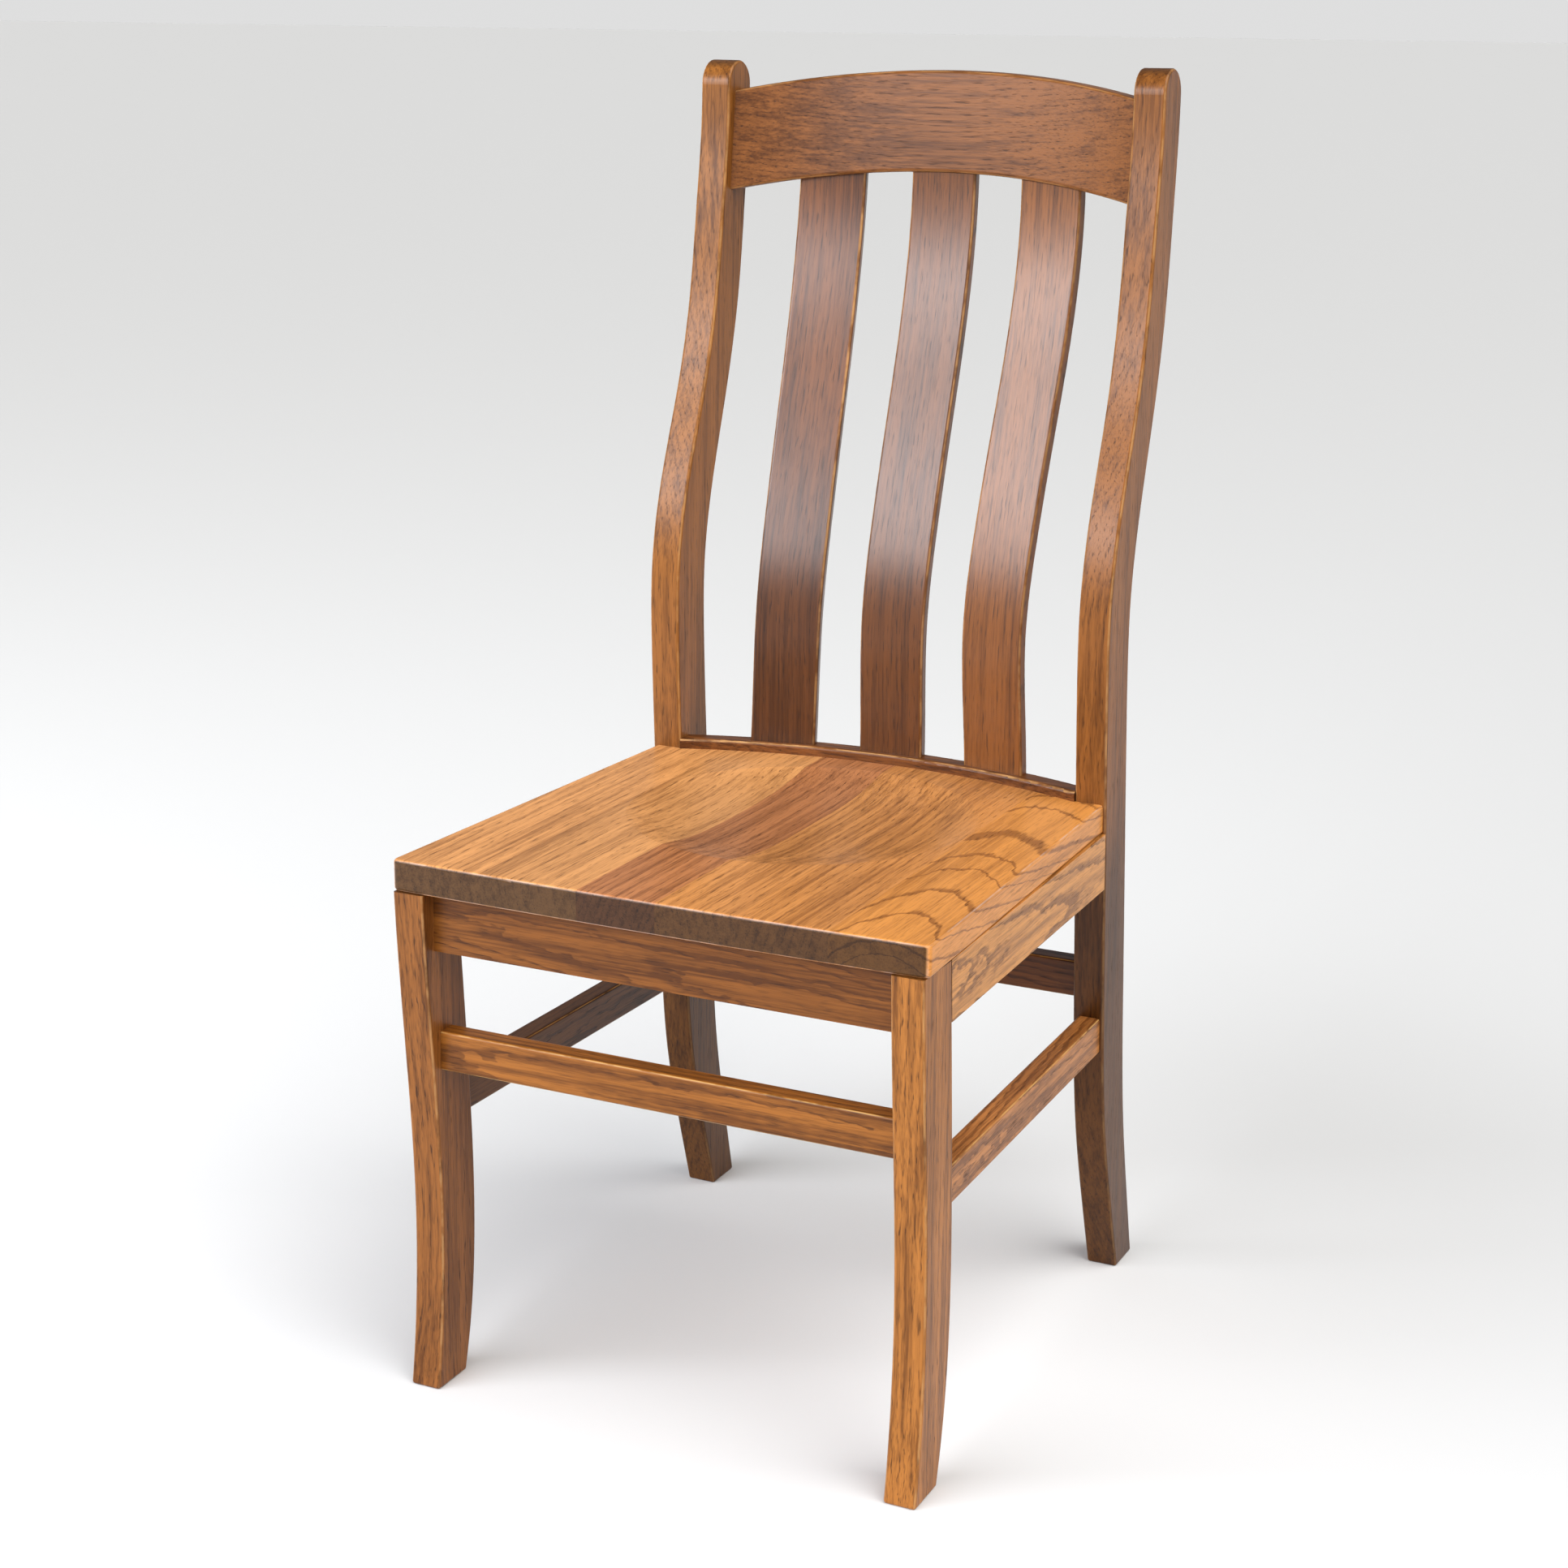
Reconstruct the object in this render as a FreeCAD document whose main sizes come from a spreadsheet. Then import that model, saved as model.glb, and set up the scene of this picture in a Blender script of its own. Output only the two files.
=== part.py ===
import FreeCAD, Part
import Sketcher
import math
import os

# A slat-back dining chair in solid hardwood: scooped seat of edge-glued staves on an
# apron frame, sabre-curved front legs, S-shaped back posts, three bent slats between
# a bowed crest rail and a bowed back rail, and four stretchers.
# Millimetres. +Z up, +X to the sitter's left as seen from the front, -Y the front.

V = FreeCAD.Vector
doc = FreeCAD.newDocument("dining_chair")
sheet = doc.addObject("Spreadsheet::Sheet", "sizes")

SIZES = {
    # whole chair
    "total_depth": 570, "total_height": 1061, "seat_height": 457, "back_reach": 156,
    # seat
    "seat_thick": 26, "seat_width_front": 460, "seat_width_back": "=seat_width_front - 30",
    "seat_side_depth": "=total_depth - back_reach",
    "seat_bow": 3, "seat_corner": 6, "seat_ease": 3,
    "bowl_centre": "=seat_side_depth - 140", "bowl_radius": 148, "bowl_depth": 10,
    "stave_1": 83, "stave_2": 86, "stave_3": 68, "stave_4": 68, "stave_5": 75, "stave_6": 80,
    # front legs
    "leg_span": "=seat_width_front - 5", "leg_width": 27,
    # back posts
    "post_span_floor": "=seat_width_front - 19", "post_span_top": "=post_span_floor - 13",
    "post_width": 28,
    "wood_ease": 2.5,
    # back
    "crest_bottom": "=total_height - 111.5", "crest_height": 86, "crest_thick": 22, "crest_bow": 37,
    "crest_arch": 19.5, "crest_rake": 5.15, "crest_ease": 3,
    "back_rail_height": 35, "back_rail_thick": 20, "back_rail_bow": 37,
    "back_rail_above_seat": 9, "back_rail_lead": 2,
    "slat_width": 60, "slat_thick": 11, "slat_spacing": 102.5, "slat_housing": 12,
    "slat_rise": 91, "slat_belly": 3.5, "slat_ease": 2.5,
    "slat_bend_start": "=0.1325 * (total_height - seat_height)",
    "slat_bend_end": "=0.8444 * (total_height - seat_height)",
    # aprons
    "apron_height": 50, "apron_thick": 20, "front_apron_setback": 17, "rear_apron_setback": 24,
    # stretchers
    "stretcher_height": 33, "stretcher_thick": 20, "stretcher_ease": 2.5,
    "front_stretcher_top": "=seat_height - 146", "front_stretcher_setback": 23,
    "rear_stretcher_top": "=seat_height - 153", "rear_stretcher_setback": 29,
    "side_stretcher_top": "=seat_height - 197",
    "tenon_thick": 10, "tenon_height": 22, "tenon_depth": 16,
    # inside the joints
    "dowel_diameter": 9, "dowel_depth": 18, "dowel_pitch": 26,
    "back_rail_dowel_diameter": 8,
    "block_height": 36, "block_reach": 40, "block_clear": 34,
    "screw_shank": 4, "screw_head": 8, "screw_head_height": 3, "screw_grip": 12,
}

# Side templates, from the floor up: height, set-back of the front face, depth.
LEG = [(0, 8, 43), (80, 17.5, 49), (170, 19.5, 50.5), (260, 14, 52), (350, 6, 53.5), (431, 0.5, 52.5)]
POST = [(0, 76, 41), (75, 50.5, 47), (150, 28.5, 52), (270, 13, 54.5), (457, 0, 53), (560, -6.5, 52.5),
        (625, -6, 52.5), (700, 11, 51.5), (780, 41.5, 47), (860, 63.5, 45), (940, 75, 43.5), (1040, 84, 42)]
for name, rows in (("leg", LEG), ("post", POST)):
    for n, row in enumerate(rows):
        for word, number in zip(("up", "face", "deep"), row):
            SIZES[f"{name}_{word}_{n}"] = number

for row, alias in enumerate(SIZES, 1):
    sheet.set(f"A{row}", alias)
    sheet.setAlias(f"B{row}", alias)
for row, number in enumerate(SIZES.values(), 1):
    sheet.set(f"B{row}", str(number))
doc.recompute()


def size(alias):
    return float(sheet.get(alias))


def template(name, rows, height):
    """The stations of a side template as the sheet holds them, their heights fitted to the chair."""
    return [[height(size(f"{name}_up_{n}")), size(f"{name}_face_{n}"), size(f"{name}_deep_{n}")]
            for n in range(len(rows))]


# ---------------------------------------------------------------- building helpers
def body(name):
    return doc.addObject("PartDesign::Body", name)


def sketch_on(owner, role, name):
    plane = next(f for f in owner.Origin.OriginFeatures if f.Role == role)
    made = owner.newObject("Sketcher::SketchObject", name)
    made.AttachmentSupport = [(plane, "")]
    made.MapMode = "FlatFace"
    return made


def pad(owner, sketch, length, both_ways=False):
    made = owner.newObject("PartDesign::Pad", owner.Name + "_pad")
    made.Profile = sketch
    made.setExpression("Length", length)
    if both_ways:
        made.SideType = "Symmetric"
    owner.Tip = made
    sketch.Visibility = False
    return made


def chain(sketch, curves):
    """Adds curves end to end and ties each pair of neighbours where their ends meet."""
    ids = [sketch.addGeometry(curve, False) for curve in curves]
    for here, after in zip(ids, ids[1:] + ids[:1]):
        gaps = [((sketch.getPoint(here, a) - sketch.getPoint(after, b)).Length, a, b)
                for a in (1, 2) for b in (1, 2)]
        sketch.addConstraint(Sketcher.Constraint("Coincident", here, min(gaps)[1], after, min(gaps)[2]))
    return ids


def line(a, b):
    return Part.LineSegment(V(a[0], a[1], 0), V(b[0], b[1], 0))


def spline(points, upright_at=None):
    """A smooth curve through points; at the point numbered upright_at it runs straight up or down."""
    curve = Part.BSplineCurve()
    points = [V(a, b, 0) for a, b in points]
    if upright_at is None:
        curve.interpolate(points)
    else:
        rise = 1 if points[-1].y > points[0].y else -1
        held = [False] * len(points)
        held[upright_at] = True
        curve.interpolate(Points=points, Tangents=[V(0, rise, 0)] * len(points), TangentFlags=held)
    return curve


def arc(a, middle, b):
    return Part.Arc(V(a[0], a[1], 0), V(middle[0], middle[1], 0), V(b[0], b[1], 0))


def board(name, length, thick, height, where, turn=0.0):
    """A straight board lying along X, its size bound to the sheet, turned about Z."""
    made = body(name)
    section = sketch_on(made, "YZ_Plane", name + "_section")
    half_t, half_h = 10.0, 20.0
    corners = [(-half_t, -half_h), (half_t, -half_h), (half_t, half_h), (-half_t, half_h)]
    ids = chain(section, [line(a, b) for a, b in zip(corners, corners[1:] + corners[:1])])
    for index, kind in zip(ids, ("Horizontal", "Vertical", "Horizontal", "Vertical")):
        section.addConstraint(Sketcher.Constraint(kind, index))
    section.addConstraint(Sketcher.Constraint("Symmetric", ids[0], 1, ids[2], 1, -1, 1))
    for label, kind, index, number, cell in (("thick", "DistanceX", ids[0], 2 * half_t, thick),
                                             ("height", "DistanceY", ids[1], 2 * half_h, height)):
        n = section.addConstraint(Sketcher.Constraint(kind, index, 1, index, 2, number))
        section.renameConstraint(n, label)
        section.setExpression("Constraints." + label, cell)
    pad(made, section, length, both_ways=True)
    made.Placement = FreeCAD.Placement(V(*where), FreeCAD.Rotation(V(0, 0, 1), turn))
    return made


def boolean(kind, name, base, tool):
    made = doc.addObject("Part::" + kind, name)
    made.Base, made.Tool = base, tool
    return made


def group(kind, name, members):
    made = doc.addObject("Part::" + kind, name)
    if kind == "Compound":
        made.Links = members
    else:
        made.Shapes = members
    return made


def ease(name, base, radius, wanted=lambda edge: True):
    """Rounds the wanted edges of a finished shape."""
    doc.recompute()
    made = doc.addObject("Part::Fillet", name)
    made.Base = base
    made.Edges = [(n, size(radius), size(radius)) for n, edge in enumerate(base.Shape.Edges, 1) if wanted(edge)]
    return made


def box(name, low, high, tilt=None):
    made = doc.addObject("Part::Box", name)
    made.Length, made.Width, made.Height = [b - a for a, b in zip(low, high)]
    made.Placement = FreeCAD.Placement(V(*low), FreeCAD.Rotation())
    if tilt:
        made.Placement = tilt.multiply(made.Placement)
    return made


def rod(name, cell, start, end):
    """A round bar of the sheet's diameter from one point to another."""
    made = doc.addObject("Part::Cylinder", name)
    made.setExpression("Radius", f"sizes.{cell} / 2")
    axis = V(*end) - V(*start)
    made.Height = axis.Length
    made.Placement = FreeCAD.Placement(V(*start), FreeCAD.Rotation(V(0, 0, 1), axis))
    return made


def along(template_rows, height, column):
    """Straight-line reading of a template column at a height."""
    for low, high in zip(template_rows, template_rows[1:]):
        if low[0] <= height <= high[0]:
            part = (height - low[0]) / (high[0] - low[0])
            return low[column] + part * (high[column] - low[column])
    return template_rows[-1][column]


# ---------------------------------------------------------------- reference places
front = -size("total_depth") / 2
post_face = front + size("seat_side_depth")
seat_top = size("seat_height")
seat_under = seat_top - size("seat_thick")
apron_under = seat_under - size("apron_height")
# The template's station at the seat moves with the seat, and its last one with the top of the post.
leg_end, seat_station, post_end = size("leg_up_5"), size("post_up_4"), size("post_up_11")
head_start = size("total_height") - size("post_deep_11") / 2


def post_station(up):
    if up <= seat_station:
        return up * seat_top / seat_station
    return seat_top + (up - seat_station) * (head_start - seat_top) / (post_end - seat_station)


leg_rows = template("leg", LEG, lambda up: up * seat_under / leg_end)
post_rows = template("post", POST, post_station)
leg_out = size("leg_span") / 2
leg_in = leg_out - size("leg_width")
lean = math.degrees(math.atan((size("post_span_floor") - size("post_span_top")) / 2 / size("total_height")))


def post_out(height):
    return size("post_span_floor") / 2 - math.tan(math.radians(lean)) * height


def post_in(height):
    return post_out(height) - size("post_width")


def leg_back(height):
    return front + along(leg_rows, height, 1) + along(leg_rows, height, 2)


def post_front(height):
    return post_face + along(post_rows, height, 1)


SIDES = (("left", -1), ("right", 1))
nodes = []


def node(made, label):
    made.Label = label
    nodes.append(made)
    return made


# ---------------------------------------------------------------- front legs, as sawn
def upright(name, rows, offset, width, rounded_top):
    """A leg sawn to a side template: front and back are curves through the stations."""
    made = body(name)
    side = sketch_on(made, "YZ_Plane", name + "_side")
    face = [(offset + f, z) for z, f, d in rows]
    rear = [(offset + f + d, z) for z, f, d in reversed(rows)]
    if rounded_top:
        # The head is a half round that runs smoothly into both faces.
        radius = (rear[0][0] - face[-1][0]) / 2
        face[-1] = (face[-1][0], size("total_height") - radius)
        rear[0] = (rear[0][0], size("total_height") - radius)
        crown = (face[-1][0] + radius, size("total_height"))
        chain(side, [spline(face, -1), arc(face[-1], crown, rear[0]), spline(rear, 0), line(rear[-1], face[0])])
    else:
        chain(side, [spline(face), line(face[-1], rear[0]), spline(rear), line(rear[-1], face[0])])
    pad(made, side, width, both_ways=True)
    return made


legs, posts = {}, {}
for side, sign in SIDES:
    blank = upright(f"leg_blank_{side}", leg_rows, front, "sizes.leg_width", False)
    blank.Placement.Base = V(sign * (leg_out - size("leg_width") / 2), 0, 0)
    legs[side] = blank
    blank = upright(f"post_blank_{side}", post_rows, post_face, "sizes.post_width", True)
    blank.Placement = FreeCAD.Placement(V(sign * (post_out(0) - size("post_width") / 2), 0, 0),
                                        FreeCAD.Rotation(V(0, 1, 0), -sign * lean))
    posts[side] = blank

# The inner faces of the posts as cutting planes for whatever stands between them.
wide = 200
planes = [box(f"post_plane_{side}", (-size("post_width") / 2 if sign > 0 else size("post_width") / 2 - wide,
                                     post_face - wide, 0),
              (wide - size("post_width") / 2 if sign > 0 else size("post_width") / 2,
               post_face + 2 * wide, size("total_height") + 20), posts[side].Placement)
          for side, sign in SIDES]
between_posts = group("Compound", "between_posts", planes)


# ---------------------------------------------------------------- bowed rails of the back
def bowed(name, half, bow, thick, height, face_at):
    """A rail bent to an arc in plan: half is half the span between the posts."""
    made = body(name)
    plan = sketch_on(made, "XY_Plane", name + "_plan")
    radius = (half ** 2 + bow ** 2) / 2 / bow
    centre = face_at + bow - radius
    reach = half + 12

    def point(r, x):
        return (x, centre + math.sqrt(r * r - x * x))
    inner = [point(radius, x) for x in (-reach, 0, reach)]
    outer = [point(radius + thick, x) for x in (reach, 0, -reach)]
    chain(plan, [arc(*inner), line(inner[2], outer[0]), arc(*outer), line(outer[2], inner[0])])
    pad(made, plan, height)
    return made, radius, centre


# Crest rail: bent board, raked back, top and bottom edges sawn to one arch.
crest_half = post_in(size("crest_bottom"))
crest_blank, crest_radius, crest_centre = bowed(
    "crest_blank", crest_half, size("crest_bow"), size("crest_thick"),
    "sizes.crest_height + sizes.crest_arch + 20", 0)
rake = size("crest_rake")
below = 8


def crest_set(height):
    """Front of the crest's ends at a height: the rake carries it back as it rises."""
    at_top = size("crest_bottom") + size("crest_height") + size("crest_arch") - size("crest_ease")
    return -front - size("crest_bow") - size("crest_thick") - (at_top - height) * math.tan(math.radians(rake))


crest_blank.Placement = FreeCAD.Placement(
    V(0, crest_set(size("crest_bottom") - below), size("crest_bottom") - below),
    FreeCAD.Rotation(V(1, 0, 0), -rake))
outline = body("crest_outline")
face = sketch_on(outline, "XZ_Plane", "crest_arches")
reach = crest_half + 20
fall = size("crest_arch") * ((reach / crest_half) ** 2 - 1)
low, high = size("crest_bottom"), size("crest_bottom") + size("crest_height")
chain(face, [arc((-reach, low - fall), (0, low + size("crest_arch")), (reach, low - fall)),
             line((reach, low - fall), (reach, high - fall)),
             arc((reach, high - fall), (0, high + size("crest_arch")), (-reach, high - fall)),
             line((-reach, high - fall), (-reach, low - fall))])
pad(outline, face, "2 * sizes.total_depth", both_ways=True)
crest_sawn = boolean("Common", "crest_sawn", crest_blank, outline)
crest_fitted = boolean("Cut", "crest_fitted", crest_sawn, between_posts)
crest_eased = ease("crest_eased", crest_fitted, "crest_ease", lambda edge: edge.Length > crest_half)

# Back rail: bent strip that carries the slats just behind the seat.
rail_z = seat_top + size("back_rail_above_seat") - size("back_rail_height")
rail_half = post_in(seat_top)
rail_face = post_face - size("back_rail_lead")
rail_blank, rail_radius, rail_centre = bowed(
    "back_rail_blank", rail_half, size("back_rail_bow"), size("back_rail_thick"),
    "sizes.back_rail_height", rail_face)
rail_blank.Placement.Base = V(0, 0, rail_z)
rail_fitted = boolean("Cut", "back_rail_fitted", rail_blank, between_posts)
rail_top = rail_z + size("back_rail_height")
rail_eased = ease("back_rail_eased", rail_fitted, "crest_ease",
                  lambda edge: edge.BoundBox.ZMin > rail_top - 1 and edge.Length > rail_half)

# ---------------------------------------------------------------- slats


def slat_bend(height):
    """How far a slat stands behind its foot: a small belly forward, then the sweep back."""
    start, end = size("slat_bend_start"), size("slat_bend_end")
    part = min(max((height - start) / (end - start), 0), 1)
    belly = math.sin(math.pi * min(max(height / (3 * start), 0), 1)) ** 2
    return size("slat_rise") * (1 - math.cos(math.pi * part)) / 2 - size("slat_belly") * belly


slat_bodies = {}
for label, side in (("left", -1), ("centre", 0), ("right", 1)):
    made = body(f"slat_{label}_blank")
    outline = sketch_on(made, "YZ_Plane", f"slat_{label}_side")
    half = size("slat_thick") / 2
    top = size("crest_bottom") + size("crest_arch") + size("slat_housing") - rail_top - 6 * abs(side)
    heights = [-size("slat_housing") + (top + size("slat_housing")) * n / 12 for n in range(13)]
    line_at = [(slat_bend(h), h) for h in heights]
    slope = [math.atan((slat_bend(h + 1) - slat_bend(h - 1)) / 2) for h in heights]
    face = [(y - half * math.cos(a), h + half * math.sin(a)) for (y, h), a in zip(line_at, slope)]
    rear = [(y + half * math.cos(a), h - half * math.sin(a)) for (y, h), a in zip(line_at, slope)][::-1]
    chain(outline, [spline(face), line(face[-1], rear[0]), spline(rear), line(rear[-1], face[0])])
    pad(made, outline, "sizes.slat_width", both_ways=True)
    # A side slat faces along the radius of the bow and leans in a little to meet the crest.
    x = side * size("slat_spacing")
    angle = math.asin(x / (rail_radius + size("back_rail_thick") / 2))
    y = rail_centre + (rail_radius + size("back_rail_thick") / 2) * math.cos(angle)
    turn = FreeCAD.Rotation(V(0, 0, 1), -math.degrees(angle))
    side_lean = FreeCAD.Rotation(V(0, 1, 0), -side * math.degrees(
        math.atan(size("slat_rise") * math.sin(abs(angle)) / top)))
    made.Placement = FreeCAD.Placement(V(x, y, rail_top), turn.multiply(side_lean))
    slat_bodies[label] = ease(f"slat_{label}_eased", made, "slat_ease",
                              lambda edge: edge.Length > size("slat_rise") * 3)
    node(slat_bodies[label], f"back_slat_{label}")
slats = group("Compound", "slats", list(slat_bodies.values()))

# ---------------------------------------------------------------- seat
seat_blank = body("seat_blank")
plan = sketch_on(seat_blank, "XY_Plane", "seat_plan")
wide_front, wide_back, bow = size("seat_width_front") / 2, size("seat_width_back") / 2, size("seat_bow")
notch = post_in(seat_top)
rear = post_face + 3
chain(plan, [arc((-wide_front, front + bow), (0, front), (wide_front, front + bow)),
             line((wide_front, front + bow), (wide_back, post_face)),
             line((wide_back, post_face), (wide_back, rear)),
             line((wide_back, rear), (notch, rear)), line((notch, rear), (notch, rail_face)),
             arc((notch, rail_face), (0, rail_face + size("back_rail_bow")), (-notch, rail_face)),
             line((-notch, rail_face), (-notch, rear)), line((-notch, rear), (-wide_back, rear)),
             line((-wide_back, rear), (-wide_back, post_face)),
             line((-wide_back, post_face), (-wide_front, front + bow))])
pad(seat_blank, plan, "sizes.seat_thick")
seat_blank.Placement.Base = V(0, 0, seat_under)
cornered = ease("seat_cornered", seat_blank, "seat_corner",
                lambda e: e.BoundBox.ZLength > size("seat_thick") - 1 and e.BoundBox.YMax < front + 20)
seat_eased = ease("seat_eased", cornered, "seat_ease",
                  lambda e: e.BoundBox.ZLength < 1 and e.BoundBox.YMin < post_face - 30)

# The bowl is a turned cutter: nearly flat in the middle, steep towards a soft rim.
bowl = body("bowl_cutter")
half_profile = sketch_on(bowl, "XZ_Plane", "bowl_profile")
deep, wide_bowl = size("bowl_depth"), size("bowl_radius")
curve = [(wide_bowl * n / 10, -deep * (1 - (n / 10) ** 4) ** 1.3) for n in range(11)]
chain(half_profile, [spline(curve), line(curve[-1], (wide_bowl, deep)),
                     line((wide_bowl, deep), (0, deep)), line((0, deep), curve[0])])
turned = bowl.newObject("PartDesign::Revolution", "bowl_turned")
turned.Profile = half_profile
turned.ReferenceAxis = (half_profile, ["V_Axis"])
turned.Angle = 360
bowl.Tip = turned
bowl.Placement.Base = V(0, front + size("bowl_centre"), seat_top)
seat_scooped = boolean("Cut", "seat_scooped", seat_eased, bowl)
seat_fitted = boolean("Cut", "seat_fitted", seat_scooped, group("Compound", "post_blanks", list(posts.values())))


# ---------------------------------------------------------------- aprons and stretchers
def span(out_front, out_back, height, thick, y_front, y_back, sign):
    """Centre and turn of a side board whose outer face runs between two points."""
    a, b = V(sign * out_front, y_front, height), V(sign * out_back, y_back, height)
    way = b - a
    inward = V(-way.y, way.x, 0).normalize() if sign > 0 else V(way.y, -way.x, 0).normalize()
    middle = (a + b) * 0.5 + inward * (thick / 2)
    return middle, way.normalize()


apron_z = apron_under + size("apron_height") / 2
thick = size("apron_thick")
front_y = front + size("front_apron_setback") + thick / 2
rear_y = post_face + size("rear_apron_setback") + thick / 2
front_blank = board("front_apron_blank", "sizes.leg_span - 2 * sizes.leg_width", "sizes.apron_thick",
                    "sizes.apron_height", (0, front_y, apron_z))
rear_blank = board("rear_apron_blank", "sizes.post_span_floor", "sizes.apron_thick",
                   "sizes.apron_height", (0, rear_y, apron_z))
rear_fitted = boolean("Cut", "rear_apron_fitted", rear_blank, between_posts)
apron_fitted, apron_way = {}, {}
for side, sign in SIDES:
    middle, way = span(leg_out - 0.3, post_out(apron_z) - 0.3, apron_z, thick,
                       leg_back(apron_z), post_front(apron_z), sign)
    turn = math.degrees(math.atan2(way.y, way.x))
    blank = board(f"side_apron_blank_{side}", "sizes.seat_side_depth - 40", "sizes.apron_thick",
                  "sizes.apron_height", middle, turn)
    off_leg = boolean("Cut", f"side_apron_off_leg_{side}", blank, legs[side])
    apron_fitted[side] = boolean("Cut", f"side_apron_fitted_{side}", off_leg, posts[side])
    apron_way[side] = (middle, way)


def tenon(name, shoulder, way, bury=6):
    """A stub tenon that starts inside the rail and runs into the upright."""
    made = doc.addObject("Part::Box", name)
    made.setExpression("Length", f"sizes.tenon_depth + {bury}")
    made.setExpression("Width", "sizes.tenon_thick")
    made.setExpression("Height", "sizes.tenon_height")
    turn = FreeCAD.Rotation(V(0, 0, 1), math.degrees(math.atan2(way.y, way.x)))
    corner = turn.multVec(V(-bury, -size("tenon_thick") / 2, -size("tenon_height") / 2))
    made.Placement = FreeCAD.Placement(shoulder + corner, turn)
    return made


stretch_t, stretch_h = size("stretcher_thick"), size("stretcher_height")
into = {("leg", "left"): [], ("leg", "right"): [], ("post", "left"): [], ("post", "right"): []}


def cross_stretcher(name, length, y, top, half, uprights, trim):
    z = top - stretch_h / 2
    blank = board(name + "_blank", length, "sizes.stretcher_thick", "sizes.stretcher_height", (0, y, z))
    soft = ease(name + "_soft", blank, "stretcher_ease", lambda e: e.BoundBox.XLength > 100)
    if trim:
        soft = boolean("Cut", name + "_fitted", soft, between_posts)
    ends = []
    for side, sign in SIDES:
        made = tenon(f"{name}_tenon_{side}", V(sign * half, y, z), V(sign, 0, 0))
        into[uprights, side].append(made)
        ends.append(made)
    node(group("MultiFuse", name + "_joined", [soft] + ends), name)


cross_stretcher("front_stretcher", "sizes.leg_span - 2 * sizes.leg_width",
                front + size("front_stretcher_setback") + stretch_t / 2, size("front_stretcher_top"),
                leg_in, "leg", False)
cross_stretcher("rear_stretcher", "sizes.post_span_floor",
                post_face + size("rear_stretcher_setback") + stretch_t / 2, size("rear_stretcher_top"),
                post_in(size("rear_stretcher_top") - stretch_h / 2), "post", True)
for side, sign in SIDES:
    z = size("side_stretcher_top") - stretch_h / 2
    inset = (size("leg_width") - stretch_t) / 2
    y_leg, y_post = leg_back(z), post_front(z)
    middle, way = span(leg_out - inset, post_out(z) - inset, z, stretch_t, y_leg, y_post, sign)
    name = f"side_stretcher_{side}"
    blank = board(name + "_blank", "sizes.seat_side_depth - 20", "sizes.stretcher_thick",
                  "sizes.stretcher_height", middle, math.degrees(math.atan2(way.y, way.x)))
    soft = ease(name + "_soft", blank, "stretcher_ease", lambda e: e.BoundBox.YLength > 100)
    off_leg = boolean("Cut", name + "_off_leg", soft, legs[side])
    fitted = boolean("Cut", name + "_fitted", off_leg, posts[side])
    to_leg, to_post = middle - way * ((middle.y - y_leg) / way.y), middle + way * ((y_post - middle.y) / way.y)
    ends = [tenon(name + "_tenon_leg", to_leg, way * -1), tenon(name + "_tenon_post", to_post, way)]
    into["leg", side].append(ends[0])
    into["post", side].append(ends[1])
    node(group("MultiFuse", name + "_joined", [fitted] + ends), name)

# ---------------------------------------------------------------- dowels
depth = size("dowel_depth")
apron_dowels, crest_dowels, rail_dowels = [], [], []
doweled = {"front": [], "rear": [], "left": [], "right": []}
for side, sign in SIDES:
    for level, z in (("low", apron_z - size("dowel_pitch") / 2), ("high", apron_z + size("dowel_pitch") / 2)):
        middle, way = apron_way[side]
        for end, place, y, half in (("front", "leg", front_y, leg_in), ("rear", "post", rear_y, post_in(z))):
            made = rod(f"dowel_{end}_{side}_{level}", "dowel_diameter",
                       (sign * (half - depth), y, z), (sign * (half + depth), y, z))
            doweled[end].append(made)
            into[place, side].append(made)
            apron_dowels.append(made)
        for place, y in (("leg", leg_back(z)), ("post", post_front(z))):
            at = V(middle.x, middle.y, z) + way * ((y - middle.y) / way.y)
            made = rod(f"dowel_side_{place}_{side}_{level}", "dowel_diameter", at - way * depth, at + way * depth)
            doweled[side].append(made)
            into[place, side].append(made)
            apron_dowels.append(made)
    for level, share in (("low", 0.26), ("high", 0.72)):
        z = size("crest_bottom") + share * size("crest_height")
        y = crest_set(z) + 0.75 * size("crest_thick")
        made = rod(f"dowel_crest_{side}_{level}", "dowel_diameter",
                   (sign * (post_in(z) - depth - 4), y, z), (sign * (post_in(z) + depth), y, z))
        into["post", side].append(made)
        crest_dowels.append(made)
    z, y = rail_z + size("back_rail_height") / 2, rail_face + 0.75 * size("back_rail_thick")
    made = rod(f"dowel_back_rail_{side}", "back_rail_dowel_diameter",
               (sign * (post_in(z) - depth - 4), y, z), (sign * (post_in(z) + depth), y, z))
    into["post", side].append(made)
    rail_dowels.append(made)
node(group("Compound", "apron_dowel_set", apron_dowels), "apron_dowels")
node(group("Compound", "crest_dowel_set", crest_dowels), "crest_dowels")
node(group("Compound", "back_rail_dowel_set", rail_dowels), "back_rail_dowels")


# ---------------------------------------------------------------- corner blocks and screws
def screw(name, seat_at, way, grip, bite):
    """A flat-headed wood screw: the head sits at seat_at and the shank runs along way."""
    parts = [rod(name + "_shank", "screw_shank", seat_at, seat_at + way * (grip + bite - 4)),
             rod(name + "_head", "screw_head", seat_at - way * size("screw_head_height"), seat_at + way * 0.01)]
    tip = doc.addObject("Part::Cone", name + "_tip")
    tip.setExpression("Radius1", "sizes.screw_shank / 2")
    tip.Radius2, tip.Height = 0.4, 4
    tip.Placement = FreeCAD.Placement(seat_at + way * (grip + bite - 4.01), FreeCAD.Rotation(V(0, 0, 1), way))
    return group("MultiFuse", name, parts + [tip])


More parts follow.
